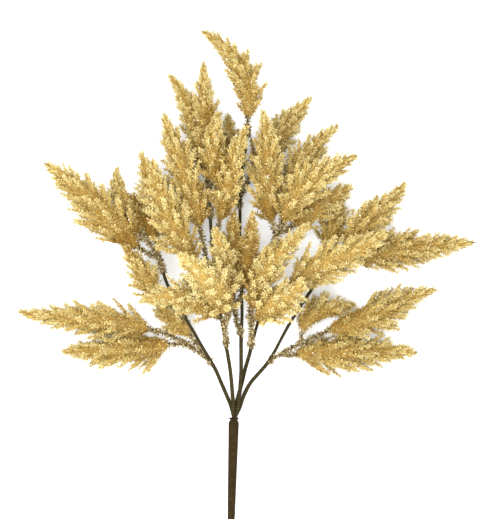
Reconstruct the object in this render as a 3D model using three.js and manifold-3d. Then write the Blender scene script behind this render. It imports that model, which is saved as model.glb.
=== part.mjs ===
// Feather reed grass spray: flocked plumes on five wired stems, bound into one wrapped stalk and lying down.
// Millimetres. +X is to the right, +Y runs from the cut end to the plume tips, +Z is up from the surface.

import * as THREE from "three";
import { mergeVertices } from "three/addons/utils/BufferGeometryUtils.js";
import Module from "manifold-3d";

const wasm = await Module();
wasm.setup();

// The gap between neighbouring pieces, and how finely curves are followed
const GAP = 0.35;
const WELD = 1e-3;
const FRAME_STEPS = 120;
const SAMPLE_STEP = 2.5;

// Wrapped stalk: a tape sleeve that lies on the surface and is open at both ends
const WRAP_FOOT_RADIUS = 3.7;
const WRAP_MOUTH_RADIUS = 4.5;
const WRAP_COLLAR_RADIUS = 5.1;
const WRAP_COLLAR_LENGTH = 5;
const WRAP_BEVEL = 1;
const WRAP_FLARE_DEPTH = 2;
const WRAP_BORE_RADIUS = 3.0;
const WRAP_SIDES = 14;
const WRAP_FOOT = new THREE.Vector3(-3.3, -6, WRAP_FOOT_RADIUS);
const WRAP_MOUTH = new THREE.Vector3(0.2, 98, WRAP_COLLAR_RADIUS);

// Stems: bare wires inside the sleeve, taped above it, slimmer above their first side stalk
const WIRE_RADIUS = 0.95;
const WIRE_RING_RADIUS = 1.85;
const WIRE_SHARES = [0, 0.5, 0.9, 1];
const TAPED_RADIUS = 2.0;
const UPPER_RADIUS = 1.6;
const TAPE_RAMP = 9;
const SLIM_RAMP = 14;
const STEM_SIDES = 6;
const STEM_RING_STEP = 15;

// Stalks: moulded, with a swollen foot that clasps the stem and one prong for each plume
const STALK_RADIUS = 1.6;
const STALK_SIDES = 4;
const STALK_RING_STEP = 16;
const FOOT_SIDES = 5;
const FOOT_RADIUS = 3.1;
const FOOT_LENGTH = 9;
const FOOT_OFFSET = 1.3;
const FOOT_END_SHARE = 0.6;
const CUFF_RADIUS = 2.8;
const CUFF_DEPTH = 5;
const CUFF_SHARE = 0.75;
const PRONG_LEAD = 5;
const PRONG_LEAD_SHARE = 0.4;
const PRONG_DEPTH = 4;

// Plumes: a slim core with finger-like branchlets, all leaning towards the tip
const SWELL_BASE = 0.3;
const SWELL_POWER = 0.6;
const CORE_SIDES = 5;
const CORE_SHARE = 0.54;
const CORE_BASE_RADIUS = 2.9;
const CORE_RINGS = [0.1, 0.28, 0.52, 0.78];
const FINGER_SIDES = 3;
const FINGER_SPACING = 6.4;
const FINGER_BELLY = 0.5;
const FINGER_RADIUS = 5.6;
const FINGER_WIDTHS = [0.85, 1.1];
const FINGER_THINNING = 0.35;
const FINGER_ANGLES = [54, 23];
const FINGER_ANGLE_JITTER = 6;
const FINGER_TURN_JITTER = 0.3;
const FINGER_ROOTS = [0, 0.88];
const FINGER_ROOT_JITTER = [0.2, 0.8];
const FINGER_REACHES = [1, 1.25];
const FINGER_LENGTHS = [1, 0.85, 0.7, 0.58, 0.48];
const FINGER_PROUD = 2;
const TIP_OVERHANG = 5;
const GOLDEN_ANGLE = Math.PI * (3 - Math.sqrt(5));

// Seeded random numbers
const SEED = 11;
const RANDOM_FACTOR = 1664525;
const RANDOM_STEP = 1013904223;
const RANDOM_RANGE = 2 ** 32;

// Where a finger would pass through the surface it is laid along it and flattened there
const FLAT_SHARE = 0.4;
const SLAB_SIZE = 1200;
const SLAB_DEPTH = 20;

// Each stem's place in the bundle, in degrees round the sleeve's axis, and its route above the mouth
const STEMS = [
  {
    name: "left",
    slot: 182,
    node: 154,
    route: [
      [-4, 112, 7], [-10, 126, 12], [-19, 148, 18], [-28, 164, 25],
      [-39, 184, 33], [-55, 212, 44], [-66, 234, 48], [-72, 252, 48],
    ],
  },
  {
    name: "front_left",
    slot: 110,
    node: 173,
    route: [
      [-1, 112, 13], [-2, 126, 18], [-4, 148, 26], [-8, 173, 36], [-12, 197, 46],
      [-15, 219, 52], [-18, 244, 54], [-21, 269, 54], [-24, 306, 49],
    ],
  },
  {
    name: "centre",
    slot: 38,
    node: 184,
    route: [
      [4, 112, 10], [6, 130, 17], [7, 148, 23], [7, 179, 30], [8, 204, 34],
      [7, 239, 36], [6, 279, 36], [6, 309, 36], [7, 334, 34], [10, 362, 32], [13, 388, 29],
    ],
  },
  {
    name: "front_right",
    slot: 254,
    node: 173,
    route: [
      [1.5, 112, 2.8], [6, 127, 6.5], [11, 148, 14], [16, 166, 25], [19, 179, 34],
      [24, 197, 44], [30, 219, 52], [36, 244, 54], [40, 273, 51],
    ],
  },
  {
    name: "right",
    slot: 326,
    node: 156,
    route: [
      [7, 112, 5.2], [12.5, 128, 10], [23, 142, 16], [35, 157, 24],
      [55, 194, 36], [75, 226, 46], [92, 249, 48],
    ],
  },
];

// Each sprig: where it leaves its stem (a height in Y, or the stem's end), its stalk and its plumes.
// A plume has a half width and an axis. The first carries on from the stalk's end, and the others'
// prongs leave the stalk at one of its points.
const SPRIGS = [
  {
    name: "left_lower",
    stem: "left",
    at: 154,
    stalk: [[-30, 161, 21], [-42, 171, 21], [-55, 178, 21], [-71, 185, 22]],
    plumes: [
      { half: 19, axis: [[-85, 189, 21], [-149, 198, 18], [-217, 204, 14]] },
      { from: 1, half: 23, axis: [[-66, 174, 17], [-112, 169, 15], [-172, 167, 12]] },
      { from: 0, half: 17, axis: [[-45, 184, 24], [-64, 203, 22], [-85, 225, 18]] },
    ],
  },
  {
    name: "left_middle",
    stem: "left",
    at: 204,
    stalk: [[-60, 212, 47]],
    plumes: [
      { half: 18, axis: [[-73, 221, 51], [-89, 243, 54], [-107, 277, 52]] },
    ],
  },
  {
    name: "left_upper",
    stem: "left",
    at: "end",
    stalk: [[-75, 262, 47]],
    plumes: [
      { half: 24, axis: [[-95, 271, 47], [-139, 314, 44], [-186, 357, 36]] },
      { from: 0, half: 14, axis: [[-93, 288, 36], [-112, 318, 24], [-120, 351, 14]] },
      { from: 0, half: 18, axis: [[-79, 280, 37], [-89, 298, 24], [-106, 324, 10]] },
    ],
  },
  {
    name: "front_left_lower",
    stem: "front_left",
    at: 173,
    stalk: [[-8, 184, 46], [-8, 196, 54]],
    plumes: [
      { half: 19, axis: [[-19, 205, 62], [-46, 222, 84], [-85, 221, 95]] },
      { from: 1, half: 24, axis: [[-8, 211, 68], [-24, 237, 100], [-48, 261, 127]] },
      { from: 1, half: 14, axis: [[-2, 222, 62], [-11, 262, 80], [-17, 293, 93]] },
    ],
  },
  {
    name: "front_left_middle",
    stem: "front_left",
    at: 236,
    stalk: [[-25, 249, 59]],
    plumes: [
      { half: 22, axis: [[-39, 257, 65], [-67, 310, 73], [-80, 355, 70]] },
      { from: 0, half: 18, axis: [[-54, 280, 47], [-78, 323, 44], [-90, 365, 44]] },
      { from: 0, half: 22, axis: [[-34, 292, 58], [-44, 335, 58], [-57, 366, 56], [-70, 402, 51]] },
    ],
  },
  {
    name: "front_left_inner",
    stem: "front_left",
    at: 270,
    stalk: [[-18, 283, 58]],
    plumes: [
      { half: 14, axis: [[-14, 298, 62], [-4, 340, 67], [13, 395, 62]] },
    ],
  },
  {
    name: "front_left_upper",
    stem: "front_left",
    at: "end",
    stalk: [[-24.5, 317, 47]],
    plumes: [
      { half: 16, axis: [[-28, 345, 30], [-36, 392, 25], [-50, 421, 24], [-67, 445, 22]] },
      { from: 0, half: 17, axis: [[-23, 338, 42], [-27, 405, 41], [-34, 457, 36]] },
      { from: 0, half: 14, axis: [[-17, 334, 55], [-19, 376, 60], [-17, 406, 56]] },
    ],
  },
  {
    name: "centre_lower",
    stem: "centre",
    at: 184,
    stalk: [[3, 196, 41], [1, 212, 48]],
    plumes: [
      { half: 14, axis: [[-2, 232, 51], [-1, 278, 59], [-3, 310, 61]] },
      { from: 1, half: 15, axis: [[9, 231, 53], [16, 273, 62], [18, 305, 66]] },
    ],
  },
  {
    name: "centre_upper_left",
    stem: "centre",
    at: 312,
    stalk: [[1, 323, 29]],
    plumes: [
      { half: 17, axis: [[-2, 340, 20], [-3, 370, 12], [-7, 404, 11]] },
    ],
  },
  {
    name: "centre_upper_right",
    stem: "centre",
    at: 324,
    stalk: [[12, 335, 28]],
    plumes: [
      { half: 17, axis: [[20, 350, 21], [34, 371, 14], [53, 393, 11], [77, 423, 11]] },
    ],
  },
  {
    name: "centre_top",
    stem: "centre",
    at: "end",
    stalk: [[13.5, 394, 28]],
    plumes: [
      { half: 16, axis: [[14, 403, 27], [13, 432, 24], [-1, 463, 20], [-31, 490, 15]] },
    ],
  },
  {
    name: "front_right_lower",
    stem: "front_right",
    at: 173,
    stalk: [[17, 185, 46], [17, 196, 54]],
    plumes: [
      { half: 23, axis: [[25, 204, 64], [43, 218, 86], [68, 237, 105]] },
      { from: 1, half: 17, axis: [[17, 214, 67], [33, 250, 81], [72, 293, 90]] },
      { from: 1, half: 12, axis: [[20, 229, 59], [24, 250, 65], [32, 274, 69]] },
    ],
  },
  {
    name: "front_right_middle",
    stem: "front_right",
    at: 216,
    stalk: [[38, 226, 57], [49, 233, 61]],
    plumes: [
      { half: 20, axis: [[56, 236, 65], [84, 252, 75], [116, 267, 80], [153, 286, 83]] },
    ],
  },
  {
    name: "front_right_upper",
    stem: "front_right",
    at: "end",
    stalk: [[42, 283, 50]],
    plumes: [
      { half: 20, axis: [[37, 297, 54], [33, 330, 57], [32, 365, 54], [30, 407, 48]] },
      { from: 0, half: 20, axis: [[51, 297, 62], [60, 318, 70], [82, 340, 74], [122, 360, 70]] },
      { from: 0, half: 18, axis: [[51, 307, 40], [62, 349, 28], [106, 398, 17]] },
      { from: 0, half: 21, axis: [[60, 294, 48], [84, 312, 45], [116, 327, 37]] },
    ],
  },
  {
    name: "right_lower",
    stem: "right",
    at: 156,
    stalk: [[46, 164, 25], [66, 174, 24], [83, 182, 23]],
    plumes: [
      { half: 20, axis: [[96, 188, 22], [150, 209, 19], [206, 232, 15]] },
      { from: 0, half: 22, axis: [[62, 163, 17], [112, 168, 13.5], [184, 166, 11]] },
      { from: 1, half: 15, axis: [[70, 187, 28], [77, 201, 27], [94, 209, 24], [119, 211, 18]] },
    ],
  },
  {
    name: "right_upper",
    stem: "right",
    at: "end",
    stalk: [[98, 257, 47]],
    plumes: [
      { half: 18, axis: [[111, 272, 45], [136, 301, 39], [176, 334, 30]] },
      { from: 0, half: 19, axis: [[117, 260, 42], [150, 266, 33], [190, 271, 24], [244, 276, 15]] },
      { from: 0, half: 18, axis: [[95, 271, 38], [98, 290, 28], [112, 317, 16]] },
    ],
  },
];

// Finishes
const tapeFinish = new THREE.MeshStandardMaterial({ color: "#564528", roughness: 0.85, metalness: 0 });
const stemFinish = new THREE.MeshStandardMaterial({ color: "#5a4a2a", roughness: 0.8, metalness: 0 });
const stalkFinish = new THREE.MeshStandardMaterial({ color: "#8a7a4c", roughness: 0.85, metalness: 0 });
const plumeFinish = new THREE.MeshStandardMaterial({ color: "#d7b46c", roughness: 0.95, metalness: 0 });

// A number from 0 to 1, by a linear congruential rule
let randomState = SEED;
function random() {
  randomState = (randomState * RANDOM_FACTOR + RANDOM_STEP) % RANDOM_RANGE;
  return randomState / RANDOM_RANGE;
}

function between(low, high) {
  return THREE.MathUtils.lerp(low, high, random());
}

function curveThrough(points) {
  return new THREE.CatmullRomCurve3(points, false, "centripetal");
}

function vectors(list) {
  return list.map((place) => new THREE.Vector3(...place));
}

// Points along a curve, close enough together to measure distances from
function samplesOf(curve) {
  return curve.getSpacedPoints(Math.ceil(curve.getLength() / SAMPLE_STEP));
}

// Turns a profile of radius and distance about +Y, then carries it along a curve, straight on past its ends
function sweepTurned(profile, sides, curve) {
  const turned = new THREE.LatheGeometry(profile.map(([r, d]) => new THREE.Vector2(r, d)), sides);
  const frames = curve.computeFrenetFrames(FRAME_STEPS, false);
  const length = curve.getLength();
  const position = turned.getAttribute("position");
  for (let i = 0; i < position.count; i++) {
    const distance = position.getY(i);
    const inside = THREE.MathUtils.clamp(distance, 0, length);
    const step = Math.round((inside / length) * FRAME_STEPS);
    const moved = curve.getPointAt(inside / length);
    moved.addScaledVector(frames.tangents[step], distance - inside);
    moved.addScaledVector(frames.normals[step], position.getX(i));
    moved.addScaledVector(frames.binormals[step], -position.getZ(i));
    position.setXYZ(i, moved.x, moved.y, moved.z);
  }
  return turned;
}

// A closed geometry as a solid that can be joined and cut
function solidOf(geometry) {
  geometry.deleteAttribute("normal");
  geometry.deleteAttribute("uv");
  const welded = mergeVertices(geometry, WELD);
  const corners = welded.index.array;
  const kept = [];
  for (let i = 0; i < corners.length; i += 3) {
    const [a, b, c] = corners.slice(i, i + 3);
    if (a !== b && b !== c && c !== a) kept.push(a, b, c);
  }
  return new wasm.Manifold(new wasm.Mesh({
    numProp: 3,
    vertProperties: welded.getAttribute("position").array,
    triVerts: new Uint32Array(kept),
  }));
}

// The largest body of a solid, so that sealed hollows are filled and loose scraps dropped
function mainBody(solid) {
  return solid.decompose().reduce((best, body) => (body.volume() > best.volume() ? body : best));
}

function namedMesh(name, solid, finish) {
  const { vertProperties, triVerts } = mainBody(solid).getMesh();
  const geometry = new THREE.BufferGeometry();
  geometry.setAttribute("position", new THREE.BufferAttribute(vertProperties, 3));
  geometry.setIndex(new THREE.BufferAttribute(triVerts, 1));
  geometry.computeVertexNormals();
  const mesh = new THREE.Mesh(geometry, finish);
  mesh.name = name;
  return mesh;
}

// Distances from one place on a curve to its end, about a step apart
function ringsTo(curve, from, step) {
  const length = curve.getLength();
  const count = Math.max(2, Math.round((length - from) / step));
  return Array.from({ length: count + 1 }, (_, i) => from + ((length - from) * i) / count);
}

// A round bar along a curve, with a radius at each ring, or grown all over to cut a clear hole for itself
function barSolid(curve, rings, radiusAt, sides, grow = 0) {
  const last = rings.length - 1;
  const wall = rings.map((distance, i) => {
    const beyond = i === 0 ? -grow : i === last ? grow : 0;
    return [radiusAt(distance) + grow, distance + beyond];
  });
  const profile = [[0, rings[0] - grow], ...wall, [0, rings[last] + grow]];
  return solidOf(sweepTurned(profile, sides, curve));
}

// Wrapped stalk
function wrapSolid() {
  const axis = new THREE.LineCurve3(WRAP_FOOT, WRAP_MOUTH);
  const length = axis.getLength();
  const profile = [
    [WRAP_BORE_RADIUS, 0],
    [WRAP_FOOT_RADIUS, 0],
    [WRAP_MOUTH_RADIUS, length - WRAP_COLLAR_LENGTH],
    [WRAP_COLLAR_RADIUS, length - WRAP_COLLAR_LENGTH + WRAP_BEVEL],
    [WRAP_COLLAR_RADIUS, length - WRAP_BEVEL],
    [WRAP_BORE_RADIUS + WRAP_BEVEL, length],
    [WRAP_BORE_RADIUS, length - WRAP_FLARE_DEPTH],
    [WRAP_BORE_RADIUS, 0],
  ];
  return solidOf(sweepTurned(profile, WRAP_SIDES, axis));
}

// A wire's place in the bundle, from the cut end at 0 to the mouth at 1
function wirePlace(slot, share) {
  const angle = THREE.MathUtils.degToRad(slot);
  const ring = new THREE.Vector3(Math.cos(angle), 0, Math.sin(angle)).multiplyScalar(WIRE_RING_RADIUS);
  return new THREE.Vector3().lerpVectors(WRAP_FOOT, WRAP_MOUTH, share).add(ring);
}

// The distance along a curve at which it reaches a given Y
function distanceAtY(curve, y) {
  const count = Math.ceil(curve.getLength());
  const points = curve.getSpacedPoints(count);
  const index = points.findIndex((point) => point.y >= y);
  return (curve.getLength() * index) / count;
}

// Stems, with their curves and radii
function makeStem({ name, slot, node, route }) {
  const inside = WIRE_SHARES.map((share) => wirePlace(slot, share));
  const curve = curveThrough([...inside, ...vectors(route)]);
  const mouth = distanceAtY(curve, WRAP_MOUTH.y);
  const slim = distanceAtY(curve, node);
  const radiusAt = (distance) => {
    const taped = THREE.MathUtils.clamp((distance - mouth) / TAPE_RAMP, 0, 1);
    const slimmed = THREE.MathUtils.clamp((distance - slim) / SLIM_RAMP, 0, 1);
    const bare = THREE.MathUtils.lerp(WIRE_RADIUS, TAPED_RADIUS, taped);
    return THREE.MathUtils.lerp(bare, UPPER_RADIUS, slimmed);
  };
  const rings = [0, mouth / 2, mouth, ...ringsTo(curve, mouth + TAPE_RAMP, STEM_RING_STEP)];
  return { name, curve, rings, radiusAt };
}

function stemSolid({ curve, rings, radiusAt }, grow = 0) {
  return barSolid(curve, rings, radiusAt, STEM_SIDES, grow);
}

// A sprig's stalk leaves its stem inside the swollen foot, or carries on from the stem's end inside a cuff
function stalkStart(sprig, stem) {
  const length = stem.curve.getLength();
  const ends = sprig.at === "end";
  const distance = ends ? length - CUFF_DEPTH : distanceAtY(stem.curve, sprig.at);
  return stem.curve.getPointAt(distance / length);
}

function footCurve(sprig, stem, start) {
  const next = new THREE.Vector3(...sprig.stalk[0]);
  if (sprig.at === "end") return new THREE.LineCurve3(start, start.clone().lerp(next, CUFF_SHARE));
  const length = stem.curve.getLength();
  const tangent = stem.curve.getTangentAt(distanceAtY(stem.curve, sprig.at) / length);
  const side = next.sub(start);
  side.addScaledVector(tangent, -side.dot(tangent)).normalize();
  const middle = start.clone().addScaledVector(side, FOOT_OFFSET).addScaledVector(tangent, FOOT_LENGTH / 3);
  const foot = middle.clone().addScaledVector(tangent, -FOOT_LENGTH / 2);
  const head = middle.clone().addScaledVector(tangent, FOOT_LENGTH / 2);
  return new THREE.LineCurve3(foot, head);
}

function makeSprig(sprig, stems) {
  const stem = stems.find(({ name }) => name === sprig.stem);
  const start = stalkStart(sprig, stem);
  const points = vectors(sprig.stalk);
  const plumes = sprig.plumes.map(({ from, half, axis }, index) => {
    const curve = curveThrough(vectors(axis));
    const base = curve.getPointAt(0);
    const forward = curve.getTangentAt(0);
    const before = index === 0 ? [start, ...points] : [points[from]];
    const lead = Math.min(PRONG_LEAD, base.distanceTo(before.at(-1)) * PRONG_LEAD_SHARE);
    const prong = curveThrough([
      ...before,
      base.clone().addScaledVector(forward, -lead),
      base,
      base.clone().addScaledVector(forward, PRONG_DEPTH),
    ]);
    return { name: `plume_${sprig.name}_${index + 1}`, curve, half, prong, samples: samplesOf(curve) };
  });
  return { ...sprig, stem, plumes, foot: footCurve(sprig, stem, start) };
}

// A stalk and its prongs, or the same grown all over to cut sockets for them
function stalkBars({ plumes }, grow = 0) {
  const bars = plumes.map(({ prong }) => {
    const rings = ringsTo(prong, 0, STALK_RING_STEP);
    return barSolid(prong, rings, () => STALK_RADIUS, STALK_SIDES, grow);
  });
  return bars.reduce((joined, bar) => joined.add(bar));
}

function stalkSolid(sprig) {
  const ends = sprig.at === "end";
  const length = sprig.foot.getLength();
  const bulge = (distance) => Math.sin((Math.PI * distance) / length);
  const swell = (distance) => FOOT_RADIUS * THREE.MathUtils.lerp(FOOT_END_SHARE, 1, bulge(distance));
  const rings = ringsTo(sprig.foot, 0, FOOT_LENGTH / 2);
  const foot = barSolid(sprig.foot, rings, ends ? () => CUFF_RADIUS : swell, FOOT_SIDES);
  return stalkBars(sprig).add(foot).subtract(stemSolid(sprig.stem, GAP));
}

function nearest(point, samples) {
  return samples.reduce((least, sample) => Math.min(least, point.distanceTo(sample)), Infinity);
}

// How far from a point a plume may reach: half the way to another plume's axis, all the way to a bar
function room(point, plume, plumes, bars) {
  const own = nearest(point, plume.samples);
  const toPlumes = plumes
    .filter((other) => other !== plume)
    .map((other) => (nearest(point, other.samples) - own) / 2);
  const toBars = bars
    .filter(({ carries }) => carries !== plume)
    .map(({ samples, radius }) => nearest(point, samples) - radius);
  return Math.min(...toPlumes, ...toBars) - GAP;
}

// A plume's outline: a quick swell above its base, then a long taper
function swellAt(share) {
  return THREE.MathUtils.lerp(SWELL_BASE, 1, Math.sin(Math.PI * share ** SWELL_POWER));
}

function coreRadius(plume, share, freeAt) {
  const point = plume.curve.getPointAt(share);
  return Math.min(plume.half * swellAt(share) * CORE_SHARE, freeAt(point), point.z - GAP);
}

function coreSolid(plume, freeAt) {
  const length = plume.curve.getLength();
  const rings = CORE_RINGS.map((share) => [coreRadius(plume, share, freeAt), share * length]);
  const profile = [[0, 0], [CORE_BASE_RADIUS, 0], ...rings, [0, length]];
  return solidOf(sweepTurned(profile, CORE_SIDES, plume.curve));
}

// A finger is a slender spindle from the plume's axis, laid along the surface where it would pass through it
function fingerSolid(root, direction, reach, radius) {
  const belly = root.clone().addScaledVector(direction, reach * FINGER_BELLY);
  const tip = root.clone().addScaledVector(direction, reach);
  belly.z = Math.max(belly.z, radius * FLAT_SHARE);
  tip.z = Math.max(tip.z, 0);
  const path = curveThrough([root, belly, tip]);
  const length = path.getLength();
  const profile = [[0, 0], [radius, length * FINGER_BELLY], [0, length]];
  return { belly, tip, build: () => solidOf(sweepTurned(profile, FINGER_SIDES, path)) };
}

// The longest finger that fits at a place, or none where even a short one would meet a neighbour
function fittedFinger(root, direction, reach, radius, plume, freeAt, core) {
  for (const share of FINGER_LENGTHS) {
    const slim = radius * Math.sqrt(share);
    const finger = fingerSolid(root, direction, reach * share, slim);
    const proud = nearest(finger.tip, plume.samples) > core + FINGER_PROUD;
    if (proud && freeAt(finger.belly) > slim && freeAt(finger.tip) > 0) return finger.build();
  }
  return null;
}

function plumeFingers(plume, freeAt) {
  const length = plume.curve.getLength();
  const frames = plume.curve.computeFrenetFrames(FRAME_STEPS, false);
  const count = Math.round(length / FINGER_SPACING);
  const fingers = [];
  for (let i = 0; i < count; i++) {
    const share = THREE.MathUtils.lerp(...FINGER_ROOTS, (i + between(...FINGER_ROOT_JITTER)) / count);
    const step = Math.round(share * FRAME_STEPS);
    const turn = i * GOLDEN_ANGLE + between(-FINGER_TURN_JITTER, FINGER_TURN_JITTER);
    const outward = frames.normals[step].clone().multiplyScalar(Math.cos(turn));
    outward.addScaledVector(frames.binormals[step], Math.sin(turn));
    const jitter = between(-FINGER_ANGLE_JITTER, FINGER_ANGLE_JITTER);
    const lean = THREE.MathUtils.degToRad(THREE.MathUtils.lerp(...FINGER_ANGLES, share) + jitter);
    const direction = frames.tangents[step].clone().multiplyScalar(Math.cos(lean));
    direction.addScaledVector(outward, Math.sin(lean));
    const full = (plume.half * swellAt(share) * between(...FINGER_REACHES)) / Math.sin(lean);
    const reach = Math.min(full, (length * (1 - share) + TIP_OVERHANG) / Math.cos(lean));
    const radius = FINGER_RADIUS * between(...FINGER_WIDTHS) * (1 - FINGER_THINNING * share);
    const root = plume.curve.getPointAt(share);
    const core = coreRadius(plume, share, freeAt);
    fingers.push(fittedFinger(root, direction, reach, radius, plume, freeAt, core));
  }
  return fingers.filter((finger) => finger !== null);
}

// Everything below the surface
function slabSolid() {
  const slab = new THREE.BoxGeometry(SLAB_SIZE, SLAB_SIZE, SLAB_DEPTH);
  slab.translate(0, 0, -SLAB_DEPTH / 2);
  return solidOf(slab);
}

function plumeSolid(plume, plumes, bars, stalk) {
  const freeAt = (point) => room(point, plume, plumes, bars);
  const core = coreSolid(plume, freeAt);
  const full = plumeFingers(plume, freeAt).reduce((joined, finger) => joined.add(finger), core);
  return full.subtract(stalk).subtract(slabSolid());
}

// The bars that plumes keep clear of: stems, stalks, feet, and the prongs of other plumes
function barsOf(stems, sprigs) {
  const stemBars = stems.map(({ curve }) => ({ samples: samplesOf(curve), radius: TAPED_RADIUS }));
  const feet = sprigs.map(({ foot }) => ({ samples: samplesOf(foot), radius: FOOT_RADIUS }));
  const prongs = sprigs.flatMap(({ plumes }) => plumes.map((plume) => ({
    samples: samplesOf(plume.prong),
    radius: STALK_RADIUS,
    carries: plume,
  })));
  return [...stemBars, ...feet, ...prongs];
}

function makeSpray() {
  const spray = new THREE.Group();
  const stems = STEMS.map(makeStem);
  const sprigs = SPRIGS.map((sprig) => makeSprig(sprig, stems));
  const plumes = sprigs.flatMap((sprig) => sprig.plumes);
  const bars = barsOf(stems, sprigs);
  spray.add(namedMesh("stem_wrap", wrapSolid(), tapeFinish));
  for (const stem of stems) {
    spray.add(namedMesh(`stem_${stem.name}`, stemSolid(stem), stemFinish));
  }
  for (const sprig of sprigs) {
    spray.add(namedMesh(`stalk_${sprig.name}`, stalkSolid(sprig), stalkFinish));
    const socket = stalkBars(sprig, GAP);
    for (const plume of sprig.plumes) {
      spray.add(namedMesh(plume.name, plumeSolid(plume, plumes, bars, socket), plumeFinish));
    }
  }
  return spray;
}

// The origin is under the middle of the spray, on the surface
const spray = makeSpray();
const box = new THREE.Box3().setFromObject(spray);
const middle = box.getCenter(new THREE.Vector3());
spray.position.set(-middle.x, -middle.y, -box.min.z);

export default spray;
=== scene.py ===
import bpy
import numpy as np
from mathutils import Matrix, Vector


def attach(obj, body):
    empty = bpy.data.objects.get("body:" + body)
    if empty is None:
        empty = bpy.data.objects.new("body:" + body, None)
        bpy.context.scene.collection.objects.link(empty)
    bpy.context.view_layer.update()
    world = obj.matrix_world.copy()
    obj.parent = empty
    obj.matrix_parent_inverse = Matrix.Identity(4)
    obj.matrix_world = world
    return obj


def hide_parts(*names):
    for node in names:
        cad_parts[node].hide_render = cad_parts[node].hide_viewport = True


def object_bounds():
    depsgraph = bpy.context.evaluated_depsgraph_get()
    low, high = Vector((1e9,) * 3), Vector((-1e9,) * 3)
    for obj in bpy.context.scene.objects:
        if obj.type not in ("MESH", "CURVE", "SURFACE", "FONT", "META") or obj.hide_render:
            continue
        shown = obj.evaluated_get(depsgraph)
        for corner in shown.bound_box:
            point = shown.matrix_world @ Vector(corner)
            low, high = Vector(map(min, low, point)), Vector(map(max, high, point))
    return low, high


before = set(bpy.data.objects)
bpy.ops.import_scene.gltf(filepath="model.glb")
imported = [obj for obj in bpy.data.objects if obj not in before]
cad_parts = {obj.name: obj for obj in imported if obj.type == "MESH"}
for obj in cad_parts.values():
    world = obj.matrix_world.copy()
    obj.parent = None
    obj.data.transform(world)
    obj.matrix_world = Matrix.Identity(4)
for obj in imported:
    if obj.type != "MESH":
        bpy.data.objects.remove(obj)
cad_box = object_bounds()

# Looks of a grass spray on a pale floor: flocked plumes, flecked stalks, papered stems and a taped sleeve.
# Lengths are in metres unless a name says otherwise. Colours are linear red, green and blue.
MM = 0.001
SEED = 7
GOLDEN_ANGLE = np.pi * (3 - np.sqrt(5))
HALF_WAY = 0.5
TINY = 1e-12
WELD_DIGITS = 6

# Plume form: a slim core and curved fingers that lean towards the tip
AXIS_SAMPLES = 4000
AXIS_DEGREE = 3
AXIS_POINTS = 60
SWELL_BASE = 0.16
SWELL_TIP = 0.07
SWELL_POWER = 0.68
WIDEST = 0.36
HALF_QUANTILE = 0.95
HALF_SHARES = (0.2, 0.8)
CORE_SHARE = 0.46
CORE_STEP = 4
CORE_SIDES = 12
FINGER_SPACING = 1.4 * MM
FINGER_ROOTS = (0.0, 0.94)
FINGER_LEAN_DEGREES = (50, 24)
LEAN_JITTER_DEGREES = 8
FINGER_TURN_JITTER = 0.3
FINGER_REACHES = (0.75, 1.2)
REACH_STEPS = 12
FINGER_TRIES = (1, 0.85, 0.7, 0.55, 0.42)
FINGER_RADII = (1.1 * MM, 1.8 * MM)
FINGER_SLIMMING = 0.5
FINGER_BEND = 0.14
FINGER_SIDES = 5
FINGER_RINGS = ((0.35, 0.7), (0.55, 1.0), (0.8, 0.75), (0.95, 0.3))
TIP_OVERHANG = 3 * MM
NEIGHBOUR_MARGIN = -2.0 * MM

# Flock: little shards of foam, half of them pointed and half of them blunt
CHIP_SPACING = 0.222 * MM
CHIP_DEPTH = 0.54
CHIP_SLIMMING = 0.6
CHIP_SIDES = 3
CHIP_STARTS = (0.3, 1.0)
CHIP_LENGTHS = (1.7 * MM, 3.5 * MM)
CHIP_WIDTHS = (0.5 * MM, 1.05 * MM)
CHIP_FLATNESS = 0.65
CHIP_SINK = 0.8
CHIP_FORWARD = 0.6
TIP_SHARES = (0.8, 1.0)
TIP_COVER = 0.9
TIP_FORWARD = 3.0
CHIP_OUTWARD = 0.8
CHIP_SCATTER = 0.45
# Painted shade and light: each chip is darker at its root, among the others, and a little paler at its outer
# end.
CHIP_PAINTED_SHADE_AND_LIGHT = (0.64, 1.06)
CORE_CHIP_AREA = 2.1 * MM * MM
BLUNT_SHARE = 0.5
FLOOR_CLEARANCE = 0.2 * MM

# Flock colours, from the recess brown to the cream of the finger tips, with odd specks. Painted shade makes
# the flock darker towards the plume cores and finger roots and where plumes crowd. Painted light makes it
# paler on the plumes that lie on top and partly paler towards the tips.
FLOCK_TONES = ((0.21, 0.12, 0.026), (0.39, 0.28, 0.085), (0.51, 0.40, 0.16), (0.63, 0.57, 0.30))
TONE_SCATTER = 0.19
# Painted shade: the darkest tone at the core and the finger roots, paler towards the finger tips, as where
# the recesses lie in shade.
FINGER_PAINTED_SHADE_TONES = (0.08, 0.4)
# Painted shade: chips that start nearer a finger's root are darker.
CHIP_PAINTED_SHADE_TONES = (0.36, 0.86)
# Painted shade: flock on the core, deep among the fingers, is darker than flock out on the fingers.
CORE_PAINTED_SHADE_TONE = 0.5
# Paler towards each plume's tip: partly the tips' own paler colour, partly painted light.
TIP_PALENESS_AND_LIGHT = 0.35
# Painted light: flock on plumes that lie higher above the floor is painted paler.
PAINTED_TOP_LIGHT_SHARES = (0.55, 1.0)
PAINTED_TOP_LIGHT = 0.3
# Painted shade: flock near the axes of other plumes is painted darker, as where neighbouring plumes shade
# it.
PAINTED_CROWD_SHADE_REACHES = (6 * MM, 22 * MM)
PAINTED_CROWD_SHADE = 0.6
PAINTED_CROWD_SHADE_STEP = 6
WHITE_SPECK = (0.92, 0.91, 0.86)
WHITE_SHARE = 0.004
RED_SPECK = (0.42, 0.06, 0.02)
RED_SHARE = 0.0008

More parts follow.
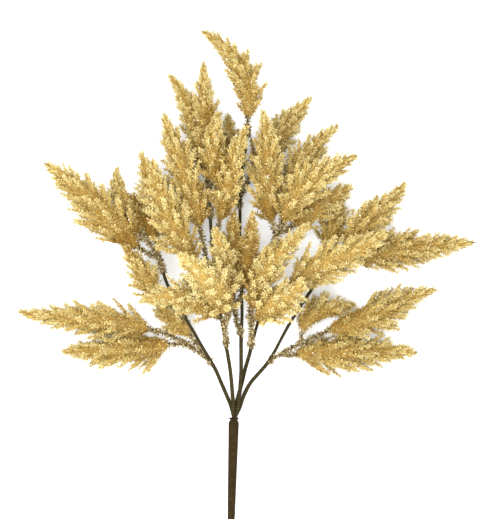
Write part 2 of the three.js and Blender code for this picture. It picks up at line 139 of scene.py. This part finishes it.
# Stalk flecks
FLECK_AREA = 1.2 * MM * MM
FLECK_TONES = ((0.05, 0.034, 0.010), (0.15, 0.11, 0.045), (0.38, 0.31, 0.17), (0.54, 0.48, 0.31))
FLECK_LENGTHS = (2.2 * MM, 4.0 * MM)
FLECK_WIDTHS = (0.7 * MM, 1.2 * MM)
FLECK_SCATTER = 0.9
STALK_VOXEL = 0.9 * MM
STALK_SMOOTHING = 6

# Stems and sleeve: wound tape whose edges stand a little proud
RING_GAP = 2.5 * MM
STEM_SIDES = 14
STEM_STEP = 1.1 * MM
STEM_WIND = 4.2 * MM
STEM_RIDGE = 0.16 * MM
SLEEVE_SIDES = 32
SLEEVE_STEP = 0.45 * MM
SLEEVE_WIND = 2.6 * MM
SLEEVE_RIDGE = 0.22 * MM
SLEEVE_END = 1 * MM
BORE_MARGIN = 0.5 * MM

# Materials, all of them dull: scales of noise and winding, and the stops of their colours
GLOSS = 0.04
NOISE_DETAIL = 3
FLOCK_ROUGHNESS = 0.92
PATCH_SCALE = 55
PATCH_STOPS = ((0.3, (0.86, 0.83, 0.78)), (0.7, (1.06, 1.05, 1.03)))
CRUMB_SCALE = 750
CRUMB_STOPS = ((0.38, (0.76, 0.70, 0.58)), (0.62, (1.13, 1.13, 1.10)))
STALK_ROUGHNESS = 0.75
STALK_SCALE = 420
STALK_STOPS = ((0.3, (0.022, 0.015, 0.006)), (0.55, (0.060, 0.045, 0.018)), (0.75, (0.15, 0.12, 0.06)))
PAPER_ROUGHNESS = 0.8
PAPER_WIND_SCALE = 150
PAPER_WIND_STOPS = ((0.2, (0.018, 0.013, 0.005)), (0.8, (0.044, 0.034, 0.014)))
PAPER_MOTTLE_SCALE = 260
PAPER_MOTTLE_STOPS = ((0.3, (0.7, 0.68, 0.62)), (0.7, (1.15, 1.15, 1.15)))
TAPE_ROUGHNESS = 0.78
TAPE_WIND_SCALE = 260
TAPE_WIND_STOPS = ((0.15, (0.013, 0.008, 0.003)), (0.85, (0.036, 0.024, 0.008)))
TAPE_MOTTLE_SCALE = 220
TAPE_MOTTLE_STOPS = ((0.3, (0.72, 0.70, 0.66)), (0.7, (1.15, 1.15, 1.15)))
WIND_UNEVENNESS = {"Distortion": 1.5, "Detail": 2, "Detail Scale": 1.5}
FLOOR_ROUGHNESS = 0.7

# Bumps of the materials: scale, strength and depth
FLOCK_BUMP = (1600, 0.4, 0.3 * MM)
STALK_BUMP = (900, 0.5, 0.4 * MM)
PAPER_BUMP = (1400, 0.4, 0.25 * MM)
TAPE_BUMP = (1200, 0.4, 0.3 * MM)

# Camera, straight above the spray, framed as 500 by 519
CAMERA_PLACE = (3.1 * MM, 14.4 * MM, 1760 * MM)
LENS_MM = 119.3
SENSOR_MM = 36

# Light and floor
FLOOR_SIZE = 8
FLOOR_COLOUR = (0.9, 0.9, 0.9, 1)
AMBIENT_COLOUR = (1, 1, 1, 1)
AMBIENT = 1.75
KEY_PLACE = (-0.12, 0.0, 0.85)
KEY_SIZE = 0.5
KEY_WATTS = 11.5

rng = np.random.default_rng(SEED)


def unit(vectors):
    return vectors / np.maximum(np.linalg.norm(vectors, axis=-1, keepdims=True), TINY)


def spread(low_high, size=None):
    return rng.uniform(*low_high, size)


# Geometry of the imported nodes
def node_mesh(name):
    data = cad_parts[name].data
    points = np.empty(len(data.vertices) * 3)
    data.vertices.foreach_get("co", points)
    data.calc_loop_triangles()
    corners = np.empty(len(data.loop_triangles) * 3, dtype=np.int32)
    data.loop_triangles.foreach_get("vertices", corners)
    return points.reshape(-1, 3), corners.reshape(-1, 3)


def surface_points(points, triangles, count):
    """Random points of a mesh, evenly over its area, with the normals there."""
    a, b, c = (points[triangles[:, i]] for i in range(3))
    crosses = np.cross(b - a, c - a)
    areas = np.linalg.norm(crosses, axis=1)
    picked = rng.choice(len(triangles), size=count, p=areas / areas.sum())
    along, across = rng.random((2, count, 1))
    outside = along + across > 1
    along = np.where(outside, 1 - along, along)
    across = np.where(outside, 1 - across, across)
    places = a[picked] + along * (b - a)[picked] + across * (c - a)[picked]
    return places, unit(crosses[picked])


def surface_area(points, triangles):
    a, b, c = (points[triangles[:, i]] for i in range(3))
    return np.linalg.norm(np.cross(b - a, c - a), axis=1).sum() / 2


def nearest(places, targets):
    """The distance from each place to its nearest target, and which target that is."""
    distances = np.linalg.norm(places[:, None, :] - targets[None, :, :], axis=2)
    return distances.min(axis=1), distances.argmin(axis=1)


def resampled(line, count):
    """A polyline's points again, evenly spaced along it."""
    lengths = np.r_[0, np.cumsum(np.linalg.norm(np.diff(line, axis=0), axis=1))]
    wanted = np.linspace(0, lengths[-1], count)
    return np.column_stack([np.interp(wanted, lengths, line[:, i]) for i in range(3)])


# Mesh pieces
def make_piece(name, points, triangles, smooth, tints, material):
    data = bpy.data.meshes.new(name)
    data.vertices.add(len(points))
    data.vertices.foreach_set("co", points.astype(np.float32).ravel())
    data.loops.add(3 * len(triangles))
    data.loops.foreach_set("vertex_index", triangles.astype(np.int32).ravel())
    data.polygons.add(len(triangles))
    data.polygons.foreach_set("loop_start", 3 * np.arange(len(triangles), dtype=np.int32))
    data.polygons.foreach_set("use_smooth", smooth.astype(bool))
    data.update(calc_edges=True)
    if tints is not None:
        layer = data.color_attributes.new("tint", "FLOAT_COLOR", "POINT")
        colours = np.column_stack([tints, np.ones(len(tints))])
        layer.data.foreach_set("color", colours.astype(np.float32).ravel())
    data.materials.append(material)
    piece = bpy.data.objects.new(name, data)
    bpy.context.scene.collection.objects.link(piece)
    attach(piece, "root")
    return piece


def joined(parts):
    """Several (points, triangles, tints, smooth) as one."""
    starts = np.cumsum([0] + [len(points) for points, _, _, _ in parts[:-1]])
    return (
        np.concatenate([points for points, _, _, _ in parts]),
        np.concatenate([triangles + start for (_, triangles, _, _), start in zip(parts, starts)]),
        np.concatenate([np.full(len(triangles), smooth) for _, triangles, _, smooth in parts]),
        np.concatenate([tints for _, _, tints, _ in parts]),
    )


def tube_triangles(rings, sides):
    """A tube of rings, closed at both ends by a point: those two points come after the rings."""
    found = []
    first, last = rings * sides, rings * sides + 1
    for j in range(sides):
        k = (j + 1) % sides
        found.append((k, j, first))
        for i in range(rings - 1):
            low, high = i * sides, (i + 1) * sides
            found.append((low + j, low + k, high + k))
            found.append((low + j, high + k, high + j))
        found.append(((rings - 1) * sides + j, (rings - 1) * sides + k, last))
    return np.array(found)


def loop_triangles(rings, sides):
    """A closed loop of rings, the last joined to the first: a tube with a bore."""
    found = []
    for i in range(rings):
        low, high = i * sides, (i + 1) % rings * sides
        for j in range(sides):
            k = (j + 1) % sides
            found.append((low + j, low + k, high + k))
            found.append((low + j, high + k, high + j))
    return np.array(found)


def repeated(template, count, size):
    """A template's triangles for each of several equal pieces."""
    return (template[None] + size * np.arange(count)[:, None, None]).reshape(-1, 3)


def tones(palette, amounts):
    """Colours along a palette, from 0 at its first to 1 at its last."""
    stops = np.linspace(0, 1, len(palette))
    colours = np.array(palette)
    return np.column_stack([np.interp(amounts, stops, colours[:, i]) for i in range(3)])


# Plume axes, found from the solids
def plume_axis(name):
    """A plume's middle line from its stalk to its tip, and its half width."""
    places, _ = surface_points(*node_mesh(name), AXIS_SAMPLES)
    centre = places.mean(axis=0)
    main = np.linalg.svd(places - centre, full_matrices=False)[2][0]
    along = (places - centre) @ main
    curve = np.polynomial.polynomial.polyfit(along, places, AXIS_DEGREE)
    wanted = np.linspace(along.min(), along.max(), AXIS_POINTS)
    line = np.polynomial.polynomial.polyval(wanted, curve).T
    stalk = "stalk_" + name.removeprefix("plume_").rsplit("_", 1)[0]
    away, _ = nearest(line[[0, -1]], node_mesh(stalk)[0])
    line = line[::-1] if away[0] > away[1] else line
    line = resampled(line, AXIS_POINTS)
    distance, index = nearest(places, line)
    share = index / (AXIS_POINTS - 1)
    middle = (share > HALF_SHARES[0]) & (share < HALF_SHARES[1])
    half = np.quantile(distance[middle] / swell(share[middle]), HALF_QUANTILE)
    return {"name": name, "line": line, "half": half}


def swell(share):
    """A plume's outline: a quick swell above its base, then a long taper to a point."""
    ends = SWELL_BASE * (1 - share) + SWELL_TIP * share
    return ends + (1 - SWELL_BASE) * np.sin(np.pi * share ** SWELL_POWER)


def axis_frames(line):
    forward = unit(np.gradient(line, axis=0))
    side = np.linalg.svd(line - line.mean(axis=0), full_matrices=False)[2][2]
    side = unit(side - forward * (forward @ side)[:, None])
    return forward, side, np.cross(forward, side)


# Cores, and the tone of the flock with its painted light and shade
def painted_light_and_shade(plume, places):
    """Painted light and shade: how much paler the flock is painted on the plumes that lie on top, as where
    more light falls, and how much darker where plumes crowd and shade each other.
    """
    # Painted light: paler with height above the floor
    high = np.interp(places[:, 2] / cad_box[1][2], PAINTED_TOP_LIGHT_SHARES, (0, PAINTED_TOP_LIGHT))
    away, _ = nearest(places, plume["others"][::PAINTED_CROWD_SHADE_STEP])
    # Painted shade: darker near the axes of other plumes
    return high - np.interp(away, PAINTED_CROWD_SHADE_REACHES, (PAINTED_CROWD_SHADE, 0))


def core_part(plume):
    line, half = plume["line"], plume["half"]
    _, side, rise = axis_frames(line)
    picked = np.arange(CORE_STEP // 2, AXIS_POINTS - CORE_STEP // 2, CORE_STEP)
    radii = CORE_SHARE * half * swell(picked / (AXIS_POINTS - 1))
    angles = np.linspace(0, 2 * np.pi, CORE_SIDES, endpoint=False)[:, None]
    around = np.cos(angles) * side[picked][:, None] + np.sin(angles) * rise[picked][:, None]
    rings = line[picked][:, None] + radii[:, None, None] * around
    points = np.concatenate([rings.reshape(-1, 3), line[[0]], line[[-1]]])
    points[:, 2] = np.maximum(points[:, 2], FLOOR_CLEARANCE)
    # The core tube gets the darkest finger tone: painted shade deep inside the plume.
    tints = tones(FLOCK_TONES, FINGER_PAINTED_SHADE_TONES[0] + painted_light_and_shade(plume, points))
    return points, tube_triangles(len(picked), CORE_SIDES), tints, True


def core_flock(plume, core):
    """Flock on the core, which shows between the fingers."""
    points, triangles, _, _ = core
    count = int(surface_area(points, triangles) / CORE_CHIP_AREA)
    places, normals = surface_points(points, triangles, count)
    _, index = nearest(places, plume["line"])
    forward = axis_frames(plume["line"])[0][index]
    # Core flock is painted darker than the flock out on the fingers: painted shade.
    amounts = CORE_PAINTED_SHADE_TONE + painted_light_and_shade(plume, places) + rng.normal(0, TONE_SCATTER, count)
    return loose_chips(places, normals, forward, amounts, index / (AXIS_POINTS - 1))


# Fingers
def finger_starts(plume):
    """Where a plume's fingers start, which way they point and how far they reach."""
    line, half = plume["line"], plume["half"]
    forward, side, rise = axis_frames(line)
    length = np.linalg.norm(np.diff(line, axis=0), axis=1).sum()
    count = int(length / FINGER_SPACING)
    numbers = np.arange(count)
    low, high = FINGER_ROOTS
    share = low + (high - low) * (numbers + rng.random(count)) / count
    index = np.round(share * (AXIS_POINTS - 1)).astype(int)
    turn = numbers * GOLDEN_ANGLE + spread((-FINGER_TURN_JITTER, FINGER_TURN_JITTER), count)
    outward = np.cos(turn)[:, None] * side[index] + np.sin(turn)[:, None] * rise[index]
    steep, shallow = FINGER_LEAN_DEGREES
    jitter = spread((-LEAN_JITTER_DEGREES, LEAN_JITTER_DEGREES), count)
    lean = np.radians(steep + (shallow - steep) * share + jitter)
    heading = np.cos(lean)[:, None] * forward[index] + np.sin(lean)[:, None] * outward
    reach = finger_reach(length, half * spread(FINGER_REACHES, count), share, lean)
    radii = spread(FINGER_RADII, count) * (FINGER_SLIMMING + (1 - FINGER_SLIMMING) * swell(share))
    return line[index], heading, forward[index], reach, radii


def finger_reach(length, halves, share, lean):
    """How far each finger reaches before it meets the plume's outline, found by halving."""
    low = np.zeros(len(share))
    high = 2 * halves / np.sin(lean)
    for _ in range(REACH_STEPS):
        middle = (low + high) / 2
        end = share + middle * (np.cos(lean) + FINGER_BEND) / length
        inside = middle * np.sin(lean) < halves * swell(np.minimum(end, 1))
        inside = inside & (end < 1 + TIP_OVERHANG / length)
        low = np.where(inside, middle, low)
        high = np.where(inside, high, middle)
    return low


def fitted_reach(plume, roots, heading, reach):
    """Each finger's reach, cut back where it would meet a neighbouring plume, or 0 where it has no room."""
    fitted = np.zeros(len(roots))
    for share in sorted(FINGER_TRIES):
        tips = roots + heading * (reach * share)[:, None]
        room = (nearest(tips, plume["others"])[0] - nearest(tips, plume["line"])[0]) / 2
        fitted = np.where(room > NEIGHBOUR_MARGIN, reach * share, fitted)
    return fitted


def finger_path(fingers, shares):
    """Points and directions along the fingers: each leans further forward towards its tip."""
    roots, heading, forward, reach = fingers
    step = reach[:, None, None]
    shares = shares[..., None]
    bend = FINGER_BEND * forward[:, None]
    points = roots[:, None] + step * (heading[:, None] * shares + bend * shares ** 2)
    directions = unit(heading[:, None] + 2 * bend * shares)
    points[..., 2] = np.maximum(points[..., 2], FINGER_RADII[0])
    return points, directions


def finger_frames(fingers, directions):
    across = unit(np.cross(fingers[2], fingers[1]))[:, None]
    return np.cross(across, directions), np.broadcast_to(across, directions.shape)


def finger_part(fingers, radii, plume):
    count = len(radii)
    ring_shares = np.array([share for share, _ in FINGER_RINGS])
    ring_radii = np.array([radius for _, radius in FINGER_RINGS])
    shares = np.broadcast_to(ring_shares, (count, len(ring_shares)))
    middles, directions = finger_path(fingers, shares)
    up, across = finger_frames(fingers, directions)
    angles = np.linspace(0, 2 * np.pi, FINGER_SIDES, endpoint=False)[:, None]
    around = np.cos(angles) * up[:, :, None] + np.sin(angles) * across[:, :, None]
    rings = middles[:, :, None] + (radii[:, None] * ring_radii)[..., None, None] * around
    ends, _ = finger_path(fingers, np.broadcast_to([ring_shares[0] / 2, 1.0], (count, 2)))
    points = np.concatenate([rings.reshape(count, -1, 3), ends], axis=1)
    points[..., 2] = np.maximum(points[..., 2], FLOOR_CLEARANCE)
    triangles = repeated(tube_triangles(len(ring_shares), FINGER_SIDES), count, points.shape[1])
    points = points.reshape(-1, 3)
    # Fingers are painted darker at their roots and paler towards their tips: painted shade in the recesses.
    ring_tones = np.interp(np.r_[np.repeat(ring_shares, FINGER_SIDES), 0, 1], (0, 1), FINGER_PAINTED_SHADE_TONES)
    tints = tones(FLOCK_TONES, np.tile(ring_tones, count) + painted_light_and_shade(plume, points))
    return points, triangles, tints, True


# Flock
def chip_part(places, directions, lengths, widths, tints):
    """Closed four-sided shards: a pointed one has its triangle at its root, a blunt one at its outer end.
    Each is painted darker at its root and a little paler at its outer end: painted shade and painted light.
    """
    count = len(places)
    blunt = rng.random(count) < BLUNT_SHARE
    across = unit(np.cross(directions, rng.normal(size=(count, 3))))
    rise = CHIP_FLATNESS * np.cross(directions, across)
    ring_at = np.where(blunt, lengths, 0)[:, None]
    apex_at = np.where(blunt, 0, lengths)[:, None]
    angles = np.linspace(0, 2 * np.pi, CHIP_SIDES, endpoint=False)
    corners = [
        places + directions * ring_at + widths[:, None] * (np.cos(angle) * across + np.sin(angle) * rise)
        for angle in angles
    ]
    points = np.stack([*corners, places + directions * apex_at], axis=1)
    kept = points[..., 2].min(axis=1) > FLOOR_CLEARANCE
    points, blunt, tints = points[kept], blunt[kept], tints[kept]
    pointed = np.array([(0, 1, 3), (1, 2, 3), (2, 0, 3), (2, 1, 0)])
    triangles = np.where(blunt[:, None, None], pointed[:, ::-1], pointed)
    triangles = (triangles + points.shape[1] * np.arange(len(points))[:, None, None]).reshape(-1, 3)
    # Painted shade at each chip's root and a little painted light at its outer end; the stalk flecks get it
    # too.
    root, tip = CHIP_PAINTED_SHADE_AND_LIGHT
    root_shade_and_tip_light = np.where(blunt[:, None], (tip, tip, tip, root), (root, root, root, tip))
    return points.reshape(-1, 3), triangles, (tints[:, None] * root_shade_and_tip_light[..., None]).reshape(-1, 3), False


def specked(tints):
    """Tints with a few odd white and red specks among them."""
    chance = rng.random(len(tints))[:, None]
    tints = np.where(chance < WHITE_SHARE, np.array(WHITE_SPECK), tints)
    return np.where(chance > 1 - RED_SHARE, np.array(RED_SPECK), tints)


def loose_chips(places, outward, forward, amounts, along):
    """Chips that stand out from a surface and lean forward, finer towards the plume's tip."""
    count = len(places)
    scale = CHIP_SLIMMING + (1 - CHIP_SLIMMING) * swell(np.maximum(along, WIDEST))
    scatter = CHIP_SCATTER * rng.normal(size=places.shape)
    lean = np.interp(along, TIP_SHARES, (CHIP_FORWARD, TIP_FORWARD))[:, None]
    headings = unit(lean * forward + CHIP_OUTWARD * outward + scatter)
    lengths = spread(CHIP_LENGTHS, count) * scale
    widths = spread(CHIP_WIDTHS, count) * scale
    return chip_part(places, headings, lengths, widths, specked(tones(FLOCK_TONES, amounts)))


def flock_part(fingers, radii, plume):
    """Flock on the fingers, more of it on the longer ones."""
    reach = fingers[3]
    count = int(reach.sum() / CHIP_SPACING)
    picked = rng.choice(len(reach), size=count, p=reach / reach.sum())
    carriers = tuple(values[picked] for values in fingers)
    shares = spread(CHIP_STARTS, (count, 1))
    middles, directions = finger_path(carriers, shares)
    up, across = finger_frames(carriers, directions)
    angles = spread((0, 2 * np.pi), (count, 1))[..., None]
    outward = np.cos(angles) * up + np.sin(angles) * across
    ring_shares, ring_radii = zip(*FINGER_RINGS)
    girth = radii[picked][:, None] * np.interp(shares, ring_shares, ring_radii)
    places = (middles + CHIP_SINK * girth[..., None] * outward).reshape(-1, 3)
    away, index = nearest(places, plume["line"])
    along = index / (AXIS_POINTS - 1)
    # Chips nearer a finger's root are painted darker, as painted shade in the recesses. Towards the plume's
    # tip they are paler, partly the tips' own colour and partly painted light.
    amounts = np.interp(shares.ravel(), CHIP_STARTS, CHIP_PAINTED_SHADE_TONES) + TIP_PALENESS_AND_LIGHT * (along - HALF_WAY)
    amounts = amounts + painted_light_and_shade(plume, places) + rng.normal(0, TONE_SCATTER, len(places))
    shown = (away > CHIP_DEPTH * plume["half"] * swell(along)) | (along > TIP_COVER)
    outward = outward.reshape(-1, 3)
    directions = directions.reshape(-1, 3)
    return loose_chips(places[shown], outward[shown], directions[shown], amounts[shown], along[shown])


def make_plume(plume, material):
    roots, heading, forward, reach, radii = finger_starts(plume)
    reach = fitted_reach(plume, roots, heading, reach)
    kept = reach > 0
    fingers = (roots[kept], heading[kept], forward[kept], reach[kept])
    radii = radii[kept]
    core = core_part(plume)
    parts = [
        core,
        core_flock(plume, core),
        finger_part(fingers, radii, plume),
        flock_part(fingers, radii, plume),
    ]
    points, triangles, smooth, tints = joined(parts)
    piece = make_piece("flocked_" + plume["name"], points, triangles, smooth, tints, material)
    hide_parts(plume["name"])


# Stalks keep their solids, rounded off, and get flecks of flock
def round_stalk(name, material):
    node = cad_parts[name]
    node.data.materials.clear()
    node.data.materials.append(material)
    remesh = node.modifiers.new("even_out", "REMESH")
    remesh.mode = "VOXEL"
    remesh.voxel_size = STALK_VOXEL
    remesh.use_smooth_shade = True
    smooth = node.modifiers.new("round_off", "SMOOTH")
    smooth.iterations = STALK_SMOOTHING


def fleck_stalk(name, material):
    points, triangles = node_mesh(name)
    count = int(surface_area(points, triangles) / FLECK_AREA)
    places, normals = surface_points(points, triangles, count)
    headings = unit(normals + FLECK_SCATTER * rng.normal(size=normals.shape))
    tints = tones(FLECK_TONES, rng.random(count))
    lengths = spread(FLECK_LENGTHS, count)
    widths = spread(FLECK_WIDTHS, count)
    part = chip_part(places - normals * FLECK_WIDTHS[0], headings, lengths, widths, tints)
    points, triangles, smooth, tints = joined([part])
    make_piece("flecks_" + name, points, triangles, smooth, tints, material)


# Stems and sleeve are wound with tape
def bar_stations(name):
    """The middles and radii of a bar's rings, from its lowest Y to its highest."""
    points = np.unique(np.round(node_mesh(name)[0], WELD_DIGITS), axis=0)
    points = points[points[:, 1].argsort()]
    breaks = np.flatnonzero(np.diff(points[:, 1]) > RING_GAP) + 1
    rings = np.split(points, breaks)
    middles = np.array([ring.mean(axis=0) for ring in rings])
    radii = np.array([np.linalg.norm(ring - middle, axis=1).max() for ring, middle in zip(rings, middles)])
    return middles, radii


def smooth_line(points, step):
    """A smooth line through points, with the place of each of its own points counted in the given ones."""
    spans = np.linalg.norm(np.diff(points, axis=0), axis=1)
    gaps = np.r_[0, np.cumsum(spans)]
    slopes = np.gradient(points, gaps, axis=0)
    place = np.interp(np.linspace(0, gaps[-1], int(gaps[-1] / step)), gaps, np.arange(len(points)))
    i = np.minimum(place.astype(int), len(points) - 2)
    t = (place - i)[:, None]
    span = spans[i][:, None]
    line = (
        (2 * t ** 3 - 3 * t ** 2 + 1) * points[i]
        + (t ** 3 - 2 * t ** 2 + t) * span * slopes[i]
        + (3 * t ** 2 - 2 * t ** 3) * points[i + 1]
        + (t ** 3 - t ** 2) * span * slopes[i + 1]
    )
    return line, place


def wound_rings(line, radii, sides, wind, ridge):
    """Rings of a bar along a line, wound with tape: the radius drops from each turn's edge to the next."""
    forward = unit(np.gradient(line, axis=0))
    side = unit(np.cross(forward, (0, 0, 1)))
    rise = np.cross(side, forward)
    lengths = np.r_[0, np.cumsum(np.linalg.norm(np.diff(line, axis=0), axis=1))]
    angles = np.linspace(0, 2 * np.pi, sides, endpoint=False)
    turns = lengths[:, None] / wind - angles[None] / (2 * np.pi)
    proud = radii[:, None] + ridge * (turns % 1 - HALF_WAY)
    angles = angles[:, None]
    around = np.cos(angles) * rise[:, None] + np.sin(angles) * side[:, None]
    rings = line[:, None] + proud[..., None] * around
    rings[..., 2] = np.maximum(rings[..., 2], 0)
    return rings


def make_stem(name, material):
    middles, radii = bar_stations(name)
    line, place = smooth_line(middles, STEM_STEP)
    thick = np.interp(place, np.arange(len(radii)), radii)
    rings = wound_rings(line, thick, STEM_SIDES, STEM_WIND, STEM_RIDGE)
    points = np.concatenate([rings.reshape(-1, 3), line[[0]], line[[-1]]])
    triangles = tube_triangles(len(line), STEM_SIDES)
    smooth = np.ones(len(triangles))
    piece = make_piece("papered_" + name, points, triangles, smooth, None, material)
    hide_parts(name)


def make_sleeve(material):
    points = np.unique(np.round(node_mesh("stem_wrap")[0], WELD_DIGITS), axis=0)
    low = points[points[:, 1] < points[:, 1].min() + SLEEVE_END].mean(axis=0)
    high = points[points[:, 1] > points[:, 1].max() - SLEEVE_END].mean(axis=0)
    forward = unit(high - low)
    along = (points - low) @ forward
    away = np.linalg.norm(points - low - along[:, None] * forward, axis=1)
    bore = away.min()
    outside = away > bore + BORE_MARGIN
    order = along[outside].argsort()
    length = np.linalg.norm(high - low)
    count = int(length / SLEEVE_STEP)
    places = np.linspace(0, length, count)
    thick = np.interp(places, along[outside][order], away[outside][order])
    line = low + places[:, None] * forward
    outer = wound_rings(line, thick, SLEEVE_SIDES, SLEEVE_WIND, SLEEVE_RIDGE)
    inner = wound_rings(line[[0, -1]], np.full(2, bore), SLEEVE_SIDES, SLEEVE_WIND, 0)
    points = np.concatenate([outer, inner[::-1]]).reshape(-1, 3)
    triangles = loop_triangles(count + 2, SLEEVE_SIDES)
    smooth = np.ones(len(triangles))
    piece = make_piece("taped_stem_wrap", points, triangles, smooth, None, material)
    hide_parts("stem_wrap")


# Materials
def new_material(name, roughness):
    material = bpy.data.materials.new(name)
    material.use_nodes = True
    shader = material.node_tree.nodes["Principled BSDF"]
    shader.inputs["Roughness"].default_value = roughness
    shader.inputs["Specular IOR Level"].default_value = GLOSS
    return material, shader


def add_node(material, kind, values):
    node = material.node_tree.nodes.new(kind)
    for key, value in values.items():
        node.inputs[key].default_value = value
    return node


def add_noise(material, scale):
    places = material.node_tree.nodes.new("ShaderNodeTexCoord")
    noise = add_node(material, "ShaderNodeTexNoise", {"Scale": scale, "Detail": NOISE_DETAIL})
    material.node_tree.links.new(places.outputs["Object"], noise.inputs["Vector"])
    return noise.outputs["Fac"]


def add_ramp(material, source, stops):
    ramp = material.node_tree.nodes.new("ShaderNodeValToRGB")
    while len(ramp.color_ramp.elements) < len(stops):
        ramp.color_ramp.elements.new(HALF_WAY)
    for element, (place, colour) in zip(ramp.color_ramp.elements, stops):
        element.position = place
        element.color = (*colour, 1)
    material.node_tree.links.new(source, ramp.inputs["Fac"])
    return ramp.outputs["Color"]


def add_product(material, first, second):
    mix = material.node_tree.nodes.new("ShaderNodeMix")
    mix.data_type = "RGBA"
    mix.blend_type = "MULTIPLY"
    mix.inputs["Factor"].default_value = 1
    material.node_tree.links.new(first, mix.inputs["A"])
    material.node_tree.links.new(second, mix.inputs["B"])
    return mix.outputs["Result"]


def add_bump(material, shader, scale, strength, depth):
    source = add_noise(material, scale)
    bump = add_node(material, "ShaderNodeBump", {"Strength": strength, "Distance": depth})
    material.node_tree.links.new(source, bump.inputs["Height"])
    material.node_tree.links.new(bump.outputs["Normal"], shader.inputs["Normal"])


def add_wind(material, scale):
    """Bands along Y, a little uneven, as tape wound round a stem has."""
    places = material.node_tree.nodes.new("ShaderNodeTexCoord")
    wave = add_node(material, "ShaderNodeTexWave", {"Scale": scale, **WIND_UNEVENNESS})
    wave.bands_direction = "Y"
    material.node_tree.links.new(places.outputs["Object"], wave.inputs["Vector"])
    return wave.outputs["Fac"]


def flock_material():
    material, shader = new_material("flock", FLOCK_ROUGHNESS)
    tint = material.node_tree.nodes.new("ShaderNodeVertexColor")
    tint.layer_name = "tint"
    patches = add_ramp(material, add_noise(material, PATCH_SCALE), PATCH_STOPS)
    crumb = add_ramp(material, add_noise(material, CRUMB_SCALE), CRUMB_STOPS)
    colour = add_product(material, tint.outputs["Color"], patches)
    colour = add_product(material, colour, crumb)
    material.node_tree.links.new(colour, shader.inputs["Base Color"])
    add_bump(material, shader, *FLOCK_BUMP)
    return material


def stalk_material():
    material, shader = new_material("moulded_stalk", STALK_ROUGHNESS)
    colour = add_ramp(material, add_noise(material, STALK_SCALE), STALK_STOPS)
    material.node_tree.links.new(colour, shader.inputs["Base Color"])
    add_bump(material, shader, *STALK_BUMP)
    return material


def paper_material():
    material, shader = new_material("stem_paper", PAPER_ROUGHNESS)
    wound = add_ramp(material, add_wind(material, PAPER_WIND_SCALE), PAPER_WIND_STOPS)
    mottle = add_ramp(material, add_noise(material, PAPER_MOTTLE_SCALE), PAPER_MOTTLE_STOPS)
    material.node_tree.links.new(add_product(material, wound, mottle), shader.inputs["Base Color"])
    add_bump(material, shader, *PAPER_BUMP)
    return material


def tape_material():
    material, shader = new_material("stem_tape", TAPE_ROUGHNESS)
    wound = add_ramp(material, add_wind(material, TAPE_WIND_SCALE), TAPE_WIND_STOPS)
    mottle = add_ramp(material, add_noise(material, TAPE_MOTTLE_SCALE), TAPE_MOTTLE_STOPS)
    material.node_tree.links.new(add_product(material, wound, mottle), shader.inputs["Base Color"])
    add_bump(material, shader, *TAPE_BUMP)
    return material


def floor_material():
    material, shader = new_material("floor", FLOOR_ROUGHNESS)
    shader.inputs["Base Color"].default_value = FLOOR_COLOUR
    return material


# Scene
def make_floor():
    half = FLOOR_SIZE / 2
    data = bpy.data.meshes.new("floor")
    corners = [(-half, -half, 0), (half, -half, 0), (half, half, 0), (-half, half, 0)]
    data.from_pydata(corners, [], [(0, 1, 2, 3)])
    data.materials.append(floor_material())
    floor = bpy.data.objects.new("floor", data)
    bpy.context.scene.collection.objects.link(floor)


def make_light():
    world = bpy.data.worlds.new("studio")
    world.use_nodes = True
    background = world.node_tree.nodes["Background"]
    background.inputs["Color"].default_value = AMBIENT_COLOUR
    background.inputs["Strength"].default_value = AMBIENT
    bpy.context.scene.world = world
    data = bpy.data.lights.new("key", "AREA")
    data.size = KEY_SIZE
    data.energy = KEY_WATTS
    key = bpy.data.objects.new("key", data)
    key.location = KEY_PLACE
    key.visible_camera = False
    key.rotation_euler = (-key.location).to_track_quat("-Z", "Y").to_euler()
    bpy.context.scene.collection.objects.link(key)


def make_camera():
    data = bpy.data.cameras.new("camera")
    data.lens = LENS_MM
    data.sensor_width = SENSOR_MM
    camera = bpy.data.objects.new("camera", data)
    camera.location = CAMERA_PLACE
    bpy.context.scene.collection.objects.link(camera)
    bpy.context.scene.camera = camera


def make_spray():
    flock = flock_material()
    stalk = stalk_material()
    paper = paper_material()
    names = sorted(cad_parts)
    plumes = [plume_axis(name) for name in names if name.startswith("plume_")]
    for plume in plumes:
        plume["others"] = np.concatenate([other["line"] for other in plumes if other is not plume])
        make_plume(plume, flock)
    for name in names:
        if name.startswith("stalk_"):
            round_stalk(name, stalk)
            fleck_stalk(name, flock)
        if name.startswith("stem_") and name != "stem_wrap":
            make_stem(name, paper)
    make_sleeve(tape_material())


make_spray()
make_floor()
make_light()
make_camera()
bpy.context.scene.view_settings.view_transform = "Standard"
